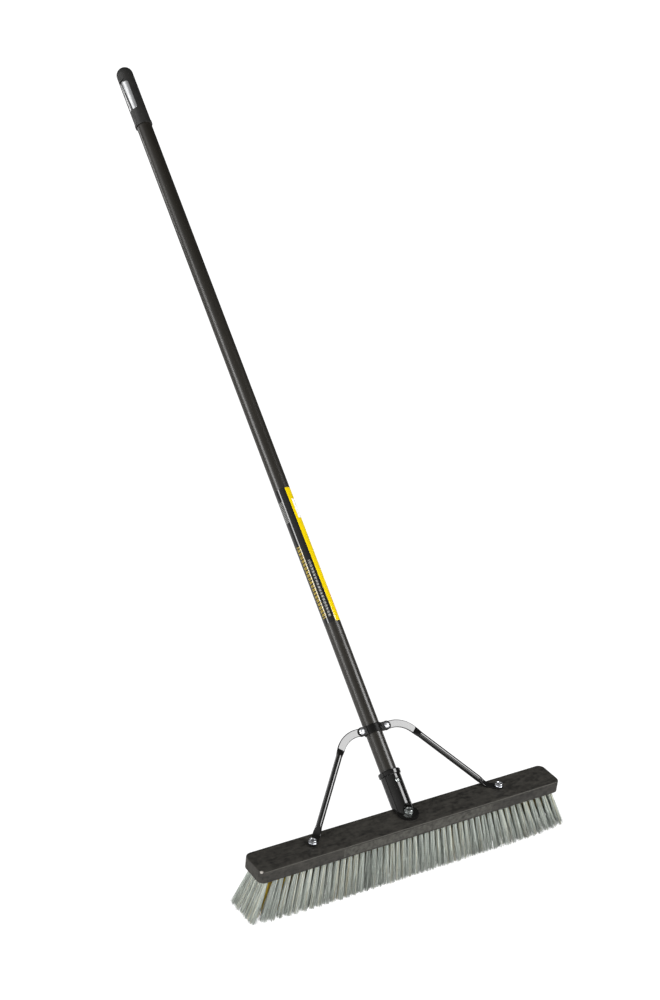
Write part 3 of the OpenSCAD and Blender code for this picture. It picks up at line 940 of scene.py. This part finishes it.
def soft_light(name, aim, way, distance, size, power, along=UP):
    """A soft box that faces the aim from the way it lies. Its size is its width and its length,
    and the length runs nearly along the last way given."""
    data = bpy.data.lights.new(name, "AREA")
    data.shape = "RECTANGLE"
    data.size, data.size_y = size
    data.energy = power
    lamp = bpy.data.objects.new(name, data)
    bpy.context.scene.collection.objects.link(lamp)
    back = way.normalized()
    long_way = (along - back * along.dot(back)).normalized()
    axes = Matrix((long_way.cross(back), long_way, back)).transposed()
    lamp.matrix_world = Matrix.Translation(aim + back * distance) @ axes.to_4x4()
    lamp.visible_camera = False


def build_lights():
    """Four soft boxes that the handle mirrors at four places along it, and two fills for the head."""
    foot, middle_up, neck, top = (HANDLE @ Vector((0, 0, s)) for s in (0.07, 0.62, 1.33, 1.49))
    soft_light("key", foot, highlight_way(65, foot), 2.3, (1.1, 1.0), 42, AXIS)
    soft_light("edge_left", middle_up, highlight_way(-50, middle_up), 2.3, (0.6, 1.3), 31, AXIS)
    soft_light("neck_edge", neck, highlight_way(-108, neck), 1.8, (0.6, 0.3), 3.6, AXIS)
    soft_light("top_fill", top, highlight_way(-46, top), 2.3, (1.2, 0.9), 3.3, AXIS)
    head = middle("head_block")
    soft_light("front_fill", head, Vector((0.2, -0.95, 0.35)), 2.8, (2.4, 1.2), 39)
    soft_light("left_fill", head, Vector((-0.85, -0.5, 0.12)), 2.8, (1.4, 0.6), 50)


def build_world():
    """White to the camera. To everything else a dim room that is lighter on the left."""
    world = bpy.data.worlds.new("studio")
    bpy.context.scene.world = world
    world.use_nodes = True
    tree = world.node_tree
    background = tree.nodes["Background"]
    background.inputs["Color"].default_value = (1, 1, 1, 1)
    way = tree.nodes.new("ShaderNodeSeparateXYZ")
    tree.links.new(tree.nodes.new("ShaderNodeTexCoord").outputs["Generated"], way.inputs[0])
    room = tree.nodes.new("ShaderNodeMapRange")
    for name, value in (("From Min", -1), ("From Max", 0.2), ("To Min", 0.55), ("To Max", 0.06)):
        room.inputs[name].default_value = value
    tree.links.new(way.outputs[0], room.inputs["Value"])
    rays = tree.nodes.new("ShaderNodeLightPath")
    level = tree.nodes.new("ShaderNodeMapRange")
    level.inputs["To Max"].default_value = 1.05
    tree.links.new(rays.outputs["Is Camera Ray"], level.inputs["Value"])
    tree.links.new(room.outputs[0], level.inputs["To Min"])
    tree.links.new(level.outputs[0], background.inputs["Strength"])


def floor_material():
    """Near-white paper, lifted to white where the camera sees it, fully so far from the broom."""
    material = bpy.data.materials.new("paper")
    material.use_nodes = True
    tree = material.node_tree
    tree.nodes.remove(tree.nodes["Principled BSDF"])
    paper = tree.nodes.new("ShaderNodeBsdfDiffuse")
    paper.inputs["Color"].default_value = (0.86, 0.86, 0.86, 1)
    lift = tree.nodes.new("ShaderNodeEmission")
    lift.inputs["Strength"].default_value = 1.12
    place = tree.nodes.new("ShaderNodeTexCoord")
    length = tree.nodes.new("ShaderNodeVectorMath")
    length.operation = "LENGTH"
    far = tree.nodes.new("ShaderNodeMapRange")
    for name, value in (("From Min", 0.7), ("From Max", 2.6), ("To Min", 0.93), ("To Max", 1.0)):
        far.inputs[name].default_value = value
    rays = tree.nodes.new("ShaderNodeLightPath")
    share = tree.nodes.new("ShaderNodeMath")
    share.operation = "MULTIPLY"
    blend = tree.nodes.new("ShaderNodeMixShader")
    tree.links.new(place.outputs["Object"], length.inputs[0])
    tree.links.new(length.outputs["Value"], far.inputs["Value"])
    tree.links.new(far.outputs[0], share.inputs[0])
    tree.links.new(rays.outputs["Is Camera Ray"], share.inputs[1])
    tree.links.new(share.outputs[0], blend.inputs[0])
    tree.links.new(paper.outputs[0], blend.inputs[1])
    tree.links.new(lift.outputs[0], blend.inputs[2])
    tree.links.new(blend.outputs[0], tree.nodes["Material Output"].inputs["Surface"])
    return material


def build_floor():
    """A wide round sheet that reaches past the view."""
    bm = bmesh.new()
    bmesh.ops.create_circle(bm, cap_ends=True, segments=96, radius=40)
    mesh = bpy.data.meshes.new("floor")
    bm.to_mesh(mesh)
    bm.free()
    mesh.materials.append(floor_material())
    link("floor", mesh)


# ---- The broom ----

def paint(material, *nodes):
    """Gives CAD nodes that keep their own shape a material."""
    for node in nodes:
        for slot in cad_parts[node].material_slots:
            slot.material = material


def build_broom():
    """Every piece and every CAD node with its look."""
    enamel = enamel_look("socket_enamel", 0.12, 0.12)
    clamp = enamel_look("clamp_enamel", 0.4, 0.12, Specular_IOR_Level=0.1)
    arms = enamel_look("arm_enamel", 0.06, 0.0, Specular_IOR_Level=0.62)
    cap = cap_look()
    hanger = plate_look()
    zinc = zinc_look("zinc", linear(236, 238, 242), linear(176, 178, 182), 0.24)
    bolt_zinc = zinc_look("bolt_zinc", linear(184, 188, 187), linear(112, 117, 114), 0.28)
    dark = zinc_look("dark_zinc", linear(70, 70, 72), linear(40, 40, 42), 0.34)
    brass = zinc_look("brass", linear(196, 164, 88), linear(150, 120, 60), 0.3)
    build_block(block_look())
    build_bristles()
    for side, spot in zip((-1, 1), round_places("brace_washers")):
        build_arm("brace_arm_right" if side > 0 else "brace_arm_left", side, spot, arms)
    place_piece(eased_copy("socket", 0.7 * MM), enamel, ["socket"])
    for node in ("clamp_front", "clamp_rear"):
        place_piece(eased_copy(node, 0.45 * MM), clamp, [node])
    place_piece(eased_copy("cap", 0.35 * MM), cap, ["cap"])
    place_piece(eased_copy("hanger_plate", 0.2 * MM), hanger, ["hanger_plate"], "hanger")
    build_hex_screws(zinc, bolt_zinc)
    paint(zinc_look("bright_zinc", linear(236, 237, 240), linear(206, 208, 212), 0.42), "clamp_bolts")
    paint(zinc, "clamp_washers", "clamp_nuts")
    paint(bolt_zinc, "handle_screw", "socket_washer")
    paint(zinc, "hanger_pin", "tuft_staples")
    paint(dark, "brace_washers")
    paint(brass, "socket_insert", "brace_inserts")
    paint(powder_look(), "handle_tube")
    paint(label_look(), "handle_label")


bpy.context.scene.view_settings.view_transform = "Standard"
build_camera()
build_world()
build_floor()
build_lights()
build_broom()
